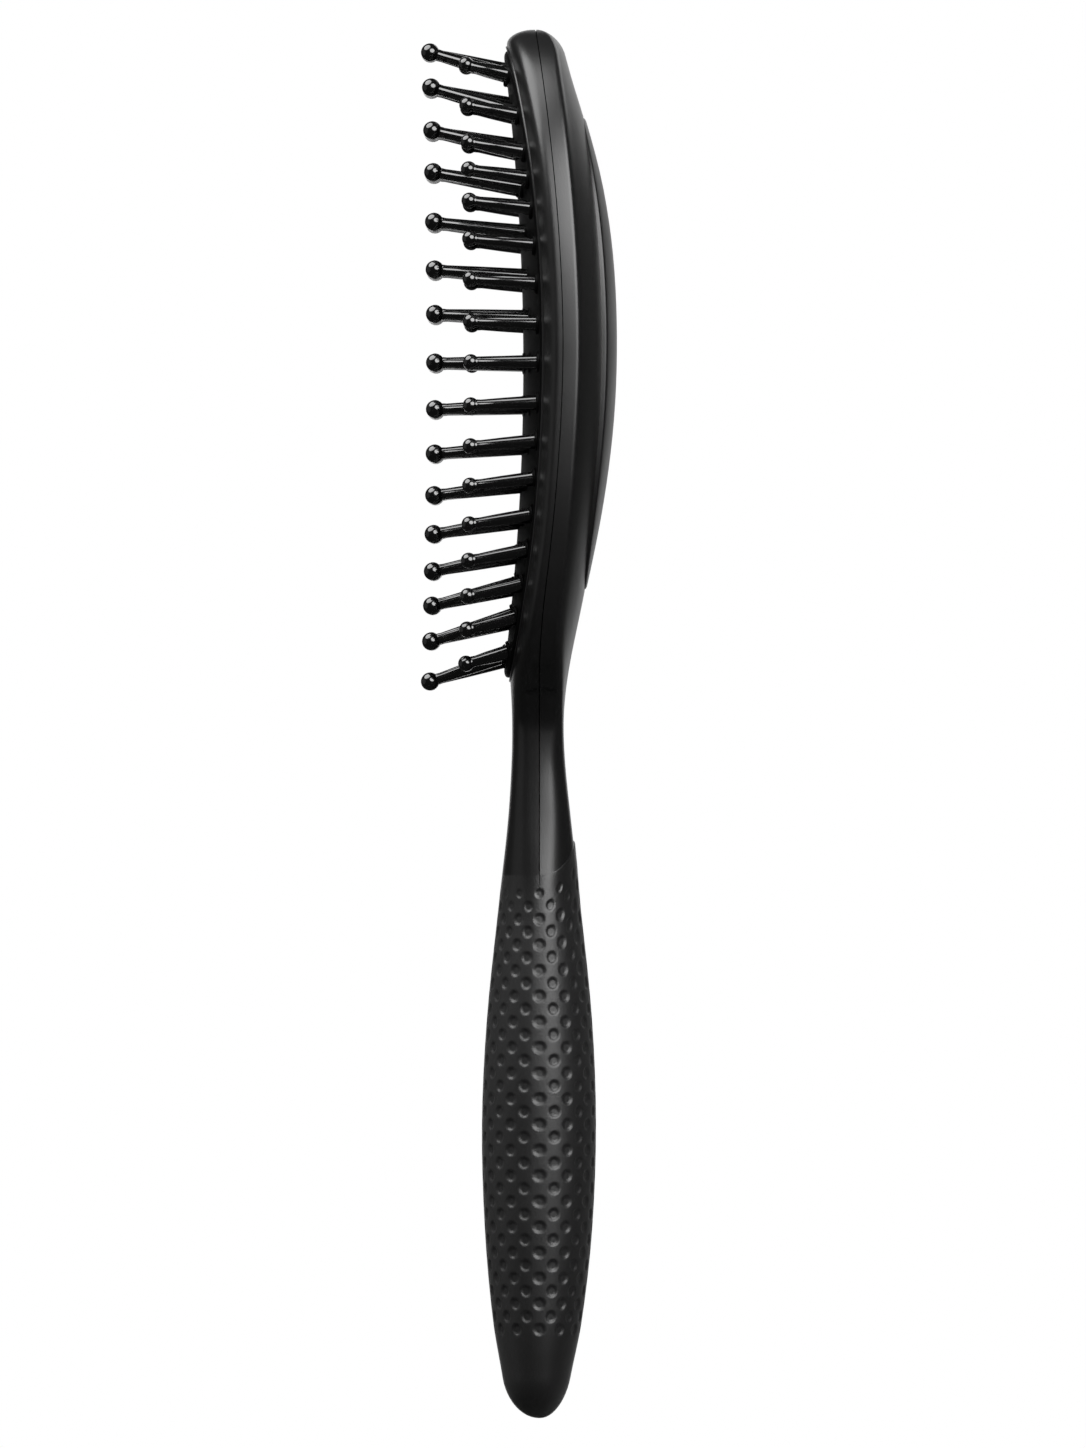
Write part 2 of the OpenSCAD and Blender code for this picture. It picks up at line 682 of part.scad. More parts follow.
module front_grip_skin() {
    color(grip_color)
        half_bowl([for (y = outer_grip_steps) front_ring(y, 0)],
                  [for (y = handle_steps(tail_y + grip_t, grip_y)) front_ring(y, grip_t)],
                  false);
}
module back_grip_skin() {
    color(grip_color)
        half_bowl([for (y = outer_grip_steps) back_ring(y, 0, 1)],
                  [for (y = handle_steps(tail_y + grip_t, grip_y)) back_ring(y, grip_t, 1)],
                  true);
}
module long_pin_row(k) {
    color(pin_color)
        for (p = long_row(k))
            pin_solid(p, long_ball_d);
}
module short_pin_pair(k) {
    color(pin_color)
        for (p = short_row(k))
            pin_solid(p, short_ball_d);
}

front_shell();
back_shell();
back_cover();
cushion();
cushion_retainer();
front_grip_skin();
back_grip_skin();
for (k = [1 : len(long_row_shares)])
    long_pin_row(k);
for (k = [1 : len(short_row_shares)])
    short_pin_pair(k);
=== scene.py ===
"""A detangling brush that lies on its back: two satin shells, a raised cover, a soft dimpled
grip, a rubber cushion and rows of glossy ball-tipped pins.

The handle points to -Y, the tip of the head to +Y and the pins to +Z. Lengths are in metres.
"""
import logging
import math
from abc import ABC, abstractmethod
from dataclasses import dataclass
from enum import Enum
from typing import Callable, Mapping, Sequence

import bmesh
import bpy
import numpy as np
from mathutils import Matrix, Vector


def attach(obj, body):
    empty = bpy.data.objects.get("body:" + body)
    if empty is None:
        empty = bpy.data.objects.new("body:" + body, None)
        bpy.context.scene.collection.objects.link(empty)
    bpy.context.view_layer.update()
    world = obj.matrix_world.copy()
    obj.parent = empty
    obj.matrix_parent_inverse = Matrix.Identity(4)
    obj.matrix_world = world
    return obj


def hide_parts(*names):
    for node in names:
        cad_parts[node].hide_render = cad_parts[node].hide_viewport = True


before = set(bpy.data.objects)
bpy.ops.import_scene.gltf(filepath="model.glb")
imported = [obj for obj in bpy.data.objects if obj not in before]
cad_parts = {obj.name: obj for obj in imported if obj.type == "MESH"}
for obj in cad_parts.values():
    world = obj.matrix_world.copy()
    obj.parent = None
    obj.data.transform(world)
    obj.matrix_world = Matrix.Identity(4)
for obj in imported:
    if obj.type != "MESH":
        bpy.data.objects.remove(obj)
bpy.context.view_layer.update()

log = logging.getLogger("detangling_brush")
MM = 0.001
QUARTER = math.pi / 2
SAME_POINT = 2e-6
SLIVER = 1e-6
BODY = "brush_body"
WHITE = (1, 1, 1, 1)

Point = tuple[float, float, float]
Pair = tuple[float, float]
Outline = tuple[Pair, ...]
Values = Mapping[str | int, object]


def mix(a: float, b: float, part: float) -> float:
    """The value between a and b at the given part of the way."""
    return a + (b - a) * part


def shares(steps: int) -> list[float]:
    """Even shares of a way, from 0 to 1."""
    return [k / steps for k in range(steps + 1)]


def middle(values: Sequence[float]) -> float:
    """The value half way between the lowest and the highest."""
    return (max(values) + min(values)) / 2


def clamp01(value: float) -> float:
    """The value held between 0 and 1."""
    return max(0.0, min(1.0, value))


def ease(part: float) -> float:
    """A smooth step from 0 to 1."""
    return part * part * (3 - 2 * part)


def bulge(at: float, power: float) -> float:
    """A superellipse: 1 in the middle, falling to 0 where at is -1 or 1."""
    return (1 - abs(at) ** power) ** (1 / power)


def soft_min(a: float, b: float, width: float) -> float:
    """The smaller of two values, rounded where they cross."""
    return min(a, b) - (max(width - abs(a - b), 0) / width) ** 2 * width / 4


def soft_max(a: float, b: float, width: float) -> float:
    """The larger of two values, rounded where they cross."""
    return -soft_min(-a, -b, width)


def curve_through(points: Outline, at: float) -> float:
    """A smooth curve through a few points.

    Args:
        points: the outline's points, each a place and a height.
        at: the place to read.

    Returns:
        The height there.
    """
    last = len(points) - 1
    i = max((k for k in range(last) if at >= points[k][0]), default=0)

    def slope(k: int) -> float:
        """The slope of the outline at point k."""
        a, b = points[max(k - 1, 0)], points[min(k + 1, last)]
        return (b[1] - a[1]) / (b[0] - a[0])

    step = points[i + 1][0] - points[i][0]
    u = (at - points[i][0]) / step
    bend = step * u * (1 - u) * ((1 - u) * slope(i) - u * slope(i + 1))
    return mix(points[i][1], points[i + 1][1], ease(u)) + bend


def round_end(distance: float, radius: float) -> float:
    """0 at a rounded end, rising to 1 past its radius."""
    if distance >= radius:
        return 1.0
    return math.sqrt(max(0.0, 1 - (1 - max(distance, 0.0) / radius) ** 2))


class Side(Enum):
    """The two halves of the brush, parted by the seam."""

    FRONT = 1
    BACK = -1


@dataclass(frozen=True)
class BodyForm:
    """The outer form of the brush, shared by its shells, cover, grip and cushion.

    Outlines and turns count along the brush in shares of its length, from the tail. The front
    and back outlines give shares of the depth. The stem's gives how far its width has gone
    from the neck's to the handle's.
    """

    length: float = 225 * MM
    depth: float = 22 * MM
    head_width: float = 66 * MM
    head_length: float = 108.4 * MM
    neck_width: float = 15.2 * MM
    handle_width: float = 23.5 * MM
    seam_height: float = 8.7 * MM
    seam_bow: float = 4.5 * MM
    seam_bow_power: float = 1.8
    seam_low: float = 0.057
    seam_gap: float = 0.15 * MM
    stem_seam: float = 0.571
    band: float = 3 * MM
    crown_height: float = 15.2 * MM
    crown_drop: float = 3 * MM
    crown_bow: float = 3.3 * MM
    crown_share: float = 0.62
    rim: float = 4.5 * MM
    rim_at_ends: float = 3.1 * MM
    tail_round: float = 6.5 * MM
    tip_round: float = 4 * MM
    front_tip_round: float = 2.4 * MM
    grip_length: float = 88 * MM
    grip_arch: float = 5.6 * MM
    arch_share: float = 0.2
    cover_length: float = 76.5 * MM
    cover_width: float = 38 * MM
    cover_up: float = 1.7 * MM
    cover_proud: float = 0.9 * MM
    cover_fall: float = 0.75
    oval_power: float = 2.6
    front_power: float = 5
    back_power: float = 14
    neck_power: float = 3.2
    grip_power: float = 2.15
    head_turn: Pair = (0.58, 0.47)
    grip_turn: Pair = (0.46, 0.37)
    plan_blend: float = 8 * MM
    profile_blend: float = 1.2 * MM
    flare_mid: float = 5 * MM
    flare_reach: float = 15 * MM
    flare_spread: float = 5 * MM
    flare_steps: tuple[float, ...] = (-1.0, -0.67, -0.33, 0.0, 0.33, 0.67, 1.0)
    back_outline: Outline = (
        (0, 0.385), (0.0245, 0.352), (0.07, 0.26), (0.135, 0.184), (0.211, 0.155),
        (0.287, 0.184), (0.373, 0.273), (0.43, 0.338), (0.475, 0.384), (0.507, 0.391),
        (0.54, 0.353), (0.597, 0.236), (0.661, 0.125), (0.72, 0.06), (0.777, 0.041),
        (0.835, 0.062), (0.885, 0.125), (0.93, 0.227), (0.965, 0.334), (1, 0.432))
    front_outline: Outline = (
        (0, 0.81), (0.0245, 0.836), (0.07, 0.913), (0.135, 0.973), (0.211, 0.995),
        (0.287, 0.959), (0.373, 0.868), (0.43, 0.804), (0.475, 0.776), (0.507, 0.774),
        (0.54, 0.79), (0.6, 0.803), (1, 0.814))
    stem_outline: Outline = (
        (0, 0.02), (0.0245, 0.16), (0.049, 0.41), (0.0706, 0.58), (0.135, 0.86), (0.211, 1),
        (0.287, 0.89), (0.373, 0.5), (0.42, 0.29), (0.45, 0.21), (0.475, 0.19), (0.5, 0.27),
        (0.518, 0.5), (0.528, 0.86), (0.539, 1.4), (0.555, 2), (1, 2))

    @property
    def tail(self) -> float:
        """Y of the tail."""
        return -self.length / 2

    @property
    def tip(self) -> float:
        """Y of the head's tip."""
        return self.length / 2

    @property
    def head_mid(self) -> float:
        """Y of the middle of the head."""
        return self.tip - self.head_length / 2

    @property
    def pad_half(self) -> Pair:
        """Half width and half length of the cushion's opening."""
        return (self.head_width / 2 - self.rim, self.head_length / 2 - self.rim_at_ends)

    @property
    def grip_edge(self) -> float:
        """Y of the grip's upper edge at the seam."""
        return self.tail + self.grip_length

    @property
    def cover_mid(self) -> float:
        """Y of the middle of the raised cover."""
        return self.head_mid + self.cover_up

    @property
    def bend_radius(self) -> float:
        """Radius of the cushion's lengthwise bend."""
        half = self.pad_half[1]
        return (half**2 + self.crown_bow**2) / (2 * self.crown_bow)

    @property
    def crown_radius(self) -> float:
        """Radius of the cushion's crown across."""
        half = self.pad_half[0]
        return (half**2 + self.crown_drop**2) / (2 * self.crown_drop)

    def share(self, y: float) -> float:
        """How far along the brush y lies, from the tail."""
        return (y - self.tail) / self.length

    def turn(self, y: float, span: Pair) -> float:
        """0 at the first share of the span, 1 at the second, smooth between."""
        return ease(clamp01((self.share(y) - span[0]) / (span[1] - span[0])))

    def oval(self, y: float, mid: float, half_width: float, half_length: float) -> float:
        """Half width of a superellipse at y."""
        return half_width * bulge(min(1.0, abs(y - mid) / half_length), self.oval_power)

    def half_width(self, y: float, inset: float = 0.0) -> float:
        """Half width of the brush at y, drawn in by inset, smoothed where the neck flares."""
        spread = self.flare_spread * (1 - ((y - self.flare_mid) / self.flare_reach) ** 2)
        if spread <= 0:
            return self.plain_width(y, inset)
        widths = [self.plain_width(y + spread * k, inset) for k in self.flare_steps]
        return sum(widths) / len(widths)

    def plain_width(self, y: float, inset: float) -> float:
        """Half width of the brush at y before the neck's flare is smoothed."""
        head = self.oval(y, self.head_mid, self.head_width / 2 - inset,
                         self.head_length / 2 - inset)
        if y > self.head_mid:
            return head
        stem = mix(self.neck_width, self.handle_width,
                   curve_through(self.stem_outline, self.share(y))) / 2 - inset
        return (soft_max(head, stem, self.plan_blend)
                * round_end(y - self.tail - inset, self.tail_round - inset))

    def seam(self, y: float) -> float:
        """Height of the parting line at y."""
        low = self.head_mid + self.head_length / 2 * self.seam_low
        bow = (abs(y - low) / (self.tip - low)) ** self.seam_bow_power
        arc = self.seam_height + self.seam_bow * bow
        return arc if y > low else soft_min(arc, self.stem_seam * self.depth,
                                            self.profile_blend)

    def crown(self, x: float, y: float) -> float:
        """Height of the cushion's crown."""
        centre = self.crown_height + self.bend_radius
        fall = self.crown_radius - math.sqrt(self.crown_radius**2 - x * x)
        return centre - math.sqrt((self.bend_radius + fall) ** 2 - (y - self.head_mid) ** 2)

    def front_line(self, y: float) -> float:
        """Height of the front's middle line at y."""
        top = curve_through(self.front_outline, self.share(y)) * self.depth
        if y > self.head_mid - self.head_length / 2 - self.rim:
            return soft_min(self.crown(0, y), top, self.profile_blend)
        return top

    def power(self, y: float, head: float) -> float:
        """Squareness of the section at y: squarer in the head, round in the grip."""
        neck = mix(head, self.neck_power, self.turn(y, self.head_turn))
        return mix(neck, self.grip_power, self.turn(y, self.grip_turn))

    def ends(self, y: float, inset: float, tip: float) -> float:
        """1 along the brush, falling to 0 round its tail and its tip."""
        return (round_end(y - self.tail - inset, self.tail_round - inset)
                * round_end(self.tip - y - inset, tip - inset))

    def surface(self, side: Side, y: float, c: float, inset: float = 0.0) -> float:
        """Height of the brush's outside.

        Args:
            side: the front or the back.
            y: place along the brush.
            c: place across, as a share of the half width.
            inset: how far the surface is drawn in.

        Returns:
            The height there.
        """
        head_part = 1 - self.turn(y, self.head_turn)
        seam, gap = self.seam(y), self.seam_gap / 2
        c = max(-1.0, min(1.0, c))
        if side is Side.FRONT:
            total = ((self.front_line(y) - seam - gap - inset)
                     * self.ends(y, inset, self.front_tip_round))
            wide = self.half_width(y, inset) / self.pad_half[0]
            crown = head_part * min(self.crown_drop * wide * wide, self.crown_share * total)
            rib = (total - crown) * bulge(c, self.power(y, self.front_power))
            return seam + gap + rib + crown * (1 - c * c)
        back = curve_through(self.back_outline, self.share(y)) * self.depth
        fall = self.ends(y, inset, self.tip_round)
        total = (seam - gap - back - inset) * fall
        band = min((self.band - inset) * fall, total)
        edge = mix(band, total, 1 - head_part)
        rib = edge * bulge(c, self.power(y, self.back_power))
        return seam - gap - rib - (total - edge) * (1 - c * c)

    def at(self, side: Side, x: float, y: float) -> float:
        """Height of the brush's outside over a point in plan."""
        half = self.half_width(y)
        return self.surface(side, y, x / half if half > 1e-9 else 0.0)

    def arched(self, y: float, c: float) -> float:
        """Y moved by the arch of the back skin's upper edge, which fades away along the grip.

        Args:
            y: place along the brush.
            c: place across, as a share of the half width.

        Returns:
            The place along the brush that it moves to.
        """
        near = clamp01(1 - abs(y - self.grip_edge) / (self.grip_length * self.arch_share))
        return y + self.grip_arch * near * (1 - c * c)

    def cover_height(self, y: float) -> float:
        """Height of the raised cover over the shell at y."""
        u = (y - self.cover_mid) / (self.cover_length / 2)
        return self.cover_proud * (1 - self.cover_fall * u * u)


FORM = BodyForm()


@dataclass(frozen=True)
class Graph:
    """The shader nodes of a material or of the world."""

    tree: bpy.types.NodeTree

    def feed(self, node: bpy.types.Node, values: Values) -> None:
        """Sets inputs of a node, or links those whose value is a socket."""
        for name, value in values.items():
            if isinstance(value, bpy.types.NodeSocket):
                self.tree.links.new(value, node.inputs[name])
            else:
                node.inputs[name].default_value = value

    def add(self, kind: str, values: Values) -> bpy.types.Node:
        """A new shader node of a kind, fed with values."""
        node = self.tree.nodes.new("ShaderNode" + kind)
        self.feed(node, values)
        return node

    def combine(self, operation: str, a: object, b: object) -> bpy.types.NodeSocket:
        """The result of a new math node on two values."""
        node = self.add("Math", {0: a, 1: b})
        node.operation = operation
        return node.outputs[0]


@dataclass(frozen=True)
class Finish:
    """A black moulded finish: colour, roughness and how both vary over the surface.

    The grain changes the colour and the bump, the cloud the roughness. With an edge set, the
    roughness runs into the neighbour's toward that place along the brush.
    """

    name: str
    colour: float
    roughness: float
    sheen: float = 0.0
    coat: float = 0.0
    coat_roughness: float = 0.1
    ior: float = 1.5
    specular: float = 0.5
    grain_size: float = 0.25 * MM
    grain: float = 0.02 * MM
    grain_tones: Pair = (0.75, 1.25)
    cloud_size: float = 14 * MM
    cloud: float = 0.06
    tint: Point = (1.0, 1.0, 1.02)
    edge: float | None = None
    edge_fade: float = 9 * MM
    edge_roughness: float = 0.3

    def material(self) -> bpy.types.Material:
        """The finish as a procedural material on object coordinates.

        Returns:
            The material, made at its first use.
        """
        found = bpy.data.materials.get(self.name)
        if found:
            return found
        mat = bpy.data.materials.new(self.name)
        mat.use_nodes = True
        graph = Graph(mat.node_tree)
        place = graph.add("TexCoord", {}).outputs["Object"]
        cloud = graph.add("TexNoise", {
            "Scale": 1 / self.cloud_size, "Detail": 3, "Vector": place}).outputs["Fac"]
        grain = graph.add("TexNoise", {
            "Scale": 1 / self.grain_size, "Detail": 2, "Vector": place}).outputs["Fac"]
        tone = graph.add("MapRange", {
            "To Min": self.roughness - self.cloud, "To Max": self.roughness + self.cloud,
            "Value": cloud})
        colour = graph.add("ValToRGB", {"Fac": grain})
        for stop, part in zip(colour.color_ramp.elements, self.grain_tones):
            stop.color = (*(self.colour * part * t for t in self.tint), 1)
        bump = graph.add("Bump", {"Strength": 1.0, "Distance": self.grain, "Height": grain})
        graph.feed(mat.node_tree.nodes["Principled BSDF"], {
            "IOR": self.ior, "Specular IOR Level": self.specular, "Sheen Weight": self.sheen,
            "Coat Weight": self.coat, "Coat Roughness": self.coat_roughness,
            "Roughness": self.toward_edge(graph, place, tone.outputs["Result"]),
            "Base Color": colour.outputs["Color"], "Normal": bump.outputs["Normal"]})
        return mat

    def toward_edge(self, graph: Graph, place: bpy.types.NodeSocket,
                    tone: bpy.types.NodeSocket) -> bpy.types.NodeSocket:
        """Lets the roughness run into the neighbour's toward the piece's upper edge.

        Args:
            graph: the material's nodes.
            place: the object coordinates.
            tone: the roughness away from the edge.

        Returns:
            The roughness over the whole piece.
        """
        if self.edge is None:
            return tone
        parts = graph.add("SeparateXYZ", {0: place})
        near = graph.add("MapRange", {
            "From Min": self.edge - self.edge_fade, "From Max": self.edge,
            "Value": parts.outputs["Y"]})
        blend = graph.add("Mix", {
            "Factor": near.outputs["Result"], "A": tone, "B": self.edge_roughness})
        return blend.outputs["Result"]


SHELL = Finish("satin_shell_plastic", 0.006, 0.32, grain=0.01 * MM, specular=0.9)
COVER = Finish("satin_cover_plastic", 0.006, 0.36, grain=0.01 * MM, specular=0.9)
GRIP = Finish("soft_touch_grip", 0.006, 0.43, specular=0.9, sheen=0.08, edge=FORM.grip_edge,
              edge_roughness=SHELL.roughness)
RUBBER = Finish("cushion_rubber", 0.002, 0.55, specular=0.08)
PIN = Finish("glossy_pin_plastic", 0.002, 0.12, coat=1.0, coat_roughness=0.05,
             grain_size=1.5 * MM, grain=0.0005 * MM, cloud=0.02, specular=0.9)
RING = Finish("plain_ring_plastic", 0.04, 0.5)
# Painted shade: near black, matte and without gloss, for the faces in the parting gap between
# the shells, so the gap reads dark.
SHADOW = Finish("painted_shade_parting_gap", 0.002, 0.9, specular=0.0)


def to_data(name: str, mesh: bmesh.types.BMesh) -> bpy.types.Mesh:
    """The mesh as a new data block; the mesh under work is freed."""
    data = bpy.data.meshes.new(name)
    mesh.to_mesh(data)
    mesh.free()
    return data


def linked(name: str, data: bpy.types.ID) -> bpy.types.Object:
    """A new object in the scene."""
    made = bpy.data.objects.new(name, data)
    bpy.context.scene.collection.objects.link(made)
    return made


def sheet(mesh: bmesh.types.BMesh, columns: int, rows: int,
          place: Callable[[int, int], Point]) -> None:
    """Adds a grid of faces and moves each vertex to its place.

    Args:
        mesh: the mesh under work.
        columns: faces across.
        rows: faces along.
        place: gives the point for a column and a row.
    """
    made = bmesh.ops.create_grid(mesh, x_segments=columns, y_segments=rows, size=1)
    for vert in made["verts"]:
        i = round((vert.co.x + 1) / 2 * columns)
        j = round((vert.co.y + 1) / 2 * rows)
        vert.co = Vector(place(i, j))


def turned(mesh: bmesh.types.BMesh, profile: Sequence[Pair], steps: int,
           matrix: Matrix) -> None:
    """Adds a profile turned round Z.

    Args:
        mesh: the mesh that gets the turned shape.
        profile: radius and height of each point.
        steps: faces round.
        matrix: where it goes.
    """
    def place(i: int, j: int) -> Point:
        """Point j of the profile after i steps round."""
        a, (r, z) = 2 * math.pi * (i % steps) / steps, profile[j]
        return tuple(matrix @ Vector((r * math.cos(a), r * math.sin(a), z)))

    sheet(mesh, steps, len(profile) - 1, place)


def finished(name: str, mesh: bmesh.types.BMesh, finish: Finish, nodes: Sequence[str],
             crease: float = 32.0, body: str = BODY,
             hidden: Callable[[bmesh.types.BMFace], bool] | None = None) -> bpy.types.Object:
    """Cleans a mesh, turns its faces outwards, dresses it and hangs it on its body.

    Args:
        name: the piece's name.
        mesh: its mesh, in metres in the brush's own frame.
        finish: what it is made of.
        nodes: the solids that it stands for.
        crease: edges bent more than this many degrees stay sharp.
        body: the body it rides on.
        hidden: tells which faces lie in a parting gap; these get a near-black matte material
            without gloss, painted shade for the gap.

    Returns:
        The finished object.
    """
    bmesh.ops.remove_doubles(mesh, verts=mesh.verts, dist=SAME_POINT)
    bmesh.ops.dissolve_degenerate(mesh, edges=mesh.edges, dist=SLIVER)
    bmesh.ops.delete(mesh, geom=[e for e in mesh.edges if e.is_wire], context="EDGES")
    bmesh.ops.recalc_face_normals(mesh, faces=mesh.faces)
    if mesh.calc_volume(signed=True) < 0 and not any(e.is_boundary for e in mesh.edges):
        bmesh.ops.reverse_faces(mesh, faces=mesh.faces)
    mesh.normal_update()
    for face in mesh.faces:
        face.smooth = True
        face.material_index = int(hidden is not None and hidden(face))
    for edge in mesh.edges:
        if edge.is_boundary or edge.calc_face_angle(0.0) > math.radians(crease):
            edge.smooth = False
    data = to_data(name, mesh)
    piece = linked(name, data)
    data.materials.append(finish.material())
    # Faces in the parting gap get the painted shade material in the second slot.
    if hidden is not None:
        data.materials.append(SHADOW.material())
    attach(piece, body)
    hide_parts(*nodes)
    log.info("%s: %d faces", name, len(data.polygons))
    return piece


@dataclass
class Shell:
    """One half of the body: a stem from the tail to the neck and an oval head with a well.

    The stem is a closed tube of stations along the brush. The head is a ring of columns, each
    the closed section from the outline over the face, down into the well and back under it.
    Joined columns start at the split, where the stem ends, and not at the outline.
    """

    side: Side
    name: str
    well_mid: float
    well_half: Pair
    well_depth: float
    lip: float
    floor: bool
    beaded: bool
    crease: float = 48.0
    hollow: float = 2.1 * MM
    rim_wall: float = 2.6 * MM
    joined_wall: float = 1.6 * MM
    well_wall: float = 0.3 * MM
    tongue_in: float = 0.22 * MM
    tongue_up: float = 0.98
    dark_reach: float = 0.08 * MM
    split: float = 5.4 * MM
    grip_inset: float = 1.05 * MM
    core_round: float = 5.4 * MM
    across: int = 24
    around: int = 220
    face_steps: int = 20
    face_spread: float = 2.6
    lip_steps: int = 4
    floor_steps: int = 6
    inside_steps: int = 5
    end_steps: int = 6
    core_steps: int = 10
    stem_steps: int = 40

    def cosines(self) -> list[float]:
        """Places across the stem, from one seam to the other."""
        return [math.cos(math.pi * part) for part in shares(self.across)]

    def angles(self) -> list[float]:
        """Directions of the head's columns, round from one corner of the split and back.

        Returns:
            Angles from the tip's direction, in scaled plan coordinates.
        """
        wide, long = FORM.head_width / 2, FORM.head_length / 2
        half = FORM.half_width(self.split)
        fall = (self.split - self.well_mid) / long
        corner = math.atan2(half / wide, fall)
        outer = [mix(-corner, corner, part) for part in shares(self.around)]
        return outer + [math.atan2(c * half / wide, fall) % (2 * math.pi)
                        for c in self.cosines()[1:-1]]

    def reach(self, angle: float) -> tuple[float, float, float, float]:
        """Where a column starts and ends in plan.

        Args:
            angle: the column's direction.

        Returns:
            Unit x and y of the direction, the distance to the outline or the split,
            and the distance to the well's edge.
        """
        dx = math.sin(angle) * FORM.head_width / 2
        dy = math.cos(angle) * FORM.head_length / 2
        size = math.hypot(dx, dy)
        dx, dy = dx / size, dy / size
        halvings = 48

        def far(inside: Callable[[float, float], bool]) -> float:
            """The distance at which the ray leaves a region."""
            low, high = 0.0, FORM.head_length
            for _ in range(halvings):
                mid = (low + high) / 2
                if inside(dx * mid, self.well_mid + dy * mid):
                    low = mid
                else:
                    high = mid
            return low

        outer = far(lambda x, y: self.split <= y < FORM.tip
                    and abs(x) <= FORM.half_width(y))
        inner = far(lambda x, y: abs(y - self.well_mid) < self.well_half[1]
                    and abs(x) <= FORM.oval(y, self.well_mid, *self.well_half))
        return dx, dy, outer, inner

    def head_column(self, angle: float, joined: bool, beside: bool) -> list[Point]:
        """One column of the head's closed section.

        Args:
            angle: the column's direction.
            joined: whether it starts where the stem joins, and not at the outline.
            beside: whether it is the joined column next to the outline.

        Returns:
            Points from the outline over the face, down the well's edge and back
            under it to the seam.
        """
        dx, dy, outer, inner = self.reach(angle)
        sign, gap = self.side.value, FORM.seam_gap / 2

        def top(r: float, sunk: float = 0.0) -> Point:
            """The outside at distance r, or a point sunk under it."""
            x, y = dx * r, self.well_mid + dy * r
            return (x, y, FORM.at(self.side, x, y) - sign * sunk)

        def parting(r: float) -> Point:
            """The parting face at distance r."""
            x, y = dx * r, self.well_mid + dy * r
            return (x, y, FORM.seam(y) + sign * gap)

        def tongue(r: float, sunk: float = 0.0) -> Point:
            """The parting face where a tongue closes the gap, or a point sunk behind it."""
            x, y, z = parting(r)
            return (x, y, z - sign * gap * self.tongue_up + sign * sunk)

        edge = inner + self.lip
        points = [top(outer) if joined else parting(outer)]
        points += [top(outer - (outer - edge) * part**self.face_spread)
                   for part in shares(self.face_steps)[1:]]
        for part in shares(self.lip_steps)[1:]:
            a = QUARTER * part
            if self.beaded:
                points.append(top(edge - self.lip * (1 - math.cos(2 * a)) / 2,
                                  -self.lip / 2 * math.sin(2 * a)))
            else:
                points.append(top(edge - self.lip * math.sin(a), self.lip * (1 - math.cos(a))))
        points.append(top(inner, self.well_depth))
        if self.floor:
            points += [top(inner * (1 - part), self.well_depth)
                       for part in shares(self.floor_steps)[1:]]
            wall = outer - (self.joined_wall if joined else self.rim_wall)
            points += [tongue(inner * part, self.hollow) for part in shares(self.inside_steps)]
            points += [tongue(wall, self.hollow), tongue(wall)]
        else:
            points.append(tongue(inner + self.well_wall))
        points.append(tongue(outer - self.tongue_in))
        points.append(tongue(outer - self.tongue_in / 2) if joined
                      else parting(outer - self.tongue_in))
        points.append(tongue(outer) if joined and not beside else parting(outer))
        return points

    def stations(self) -> list[Pair]:
        """Places along the stem, each with how far its section is drawn in."""
        start, edge = FORM.tail + self.grip_inset, FORM.grip_edge
        core = [start + self.core_round * (1 - math.cos(QUARTER * part))
                for part in shares(self.end_steps)]
        core += [mix(core[-1], edge, part) for part in shares(self.core_steps)[1:]]
        stem = [mix(edge, self.split, part) for part in shares(self.stem_steps)]
        return [(y, self.grip_inset) for y in core] + [(y, 0.0) for y in stem]

    def stem_point(self, i: int, station: Pair) -> Point:
        """The stem's point in column i of a station: over the outside, back along the seam."""
        y, inset = station
        past = i - self.across
        c = self.cosines()[i if past <= 0 else self.across - past]
        if self.side is Side.BACK and past <= 0:
            y = FORM.arched(y, c)
        x = c * FORM.half_width(y, inset)
        if past <= 0:
            return (x, y, FORM.surface(self.side, y, c, inset))
        deep = 1 - self.tongue_up if 1 < past < self.across - 1 else 1.0
        return (x, y, FORM.seam(y) + self.side.value * FORM.seam_gap / 2 * deep)

    def build(self) -> bpy.types.Object:
        """Makes the shell.

        Returns:
            The shell's object.
        """
        mesh = bmesh.new()
        angles = self.angles()
        count, first = len(angles), self.around + 1
        columns = [self.head_column(a, k >= first, k in (first, count - 1))
                   for k, a in enumerate(angles)]
        sheet(mesh, count, len(columns[0]) - 1, lambda i, j: columns[i % count][j])
        stops, ring = self.stations(), 2 * self.across
        sheet(mesh, ring, len(stops) - 1, lambda i, j: self.stem_point(i % ring, stops[j]))

        def hidden(face: bmesh.types.BMFace) -> bool:
            """Whether a face lies in the gap between the two shells, where painted shade goes.
            """
            centre = face.calc_center_median()
            return abs(centre.z - FORM.seam(centre.y)) < self.dark_reach

        return finished("satin_" + self.name, mesh, SHELL, [self.name], self.crease,
                        hidden=hidden)


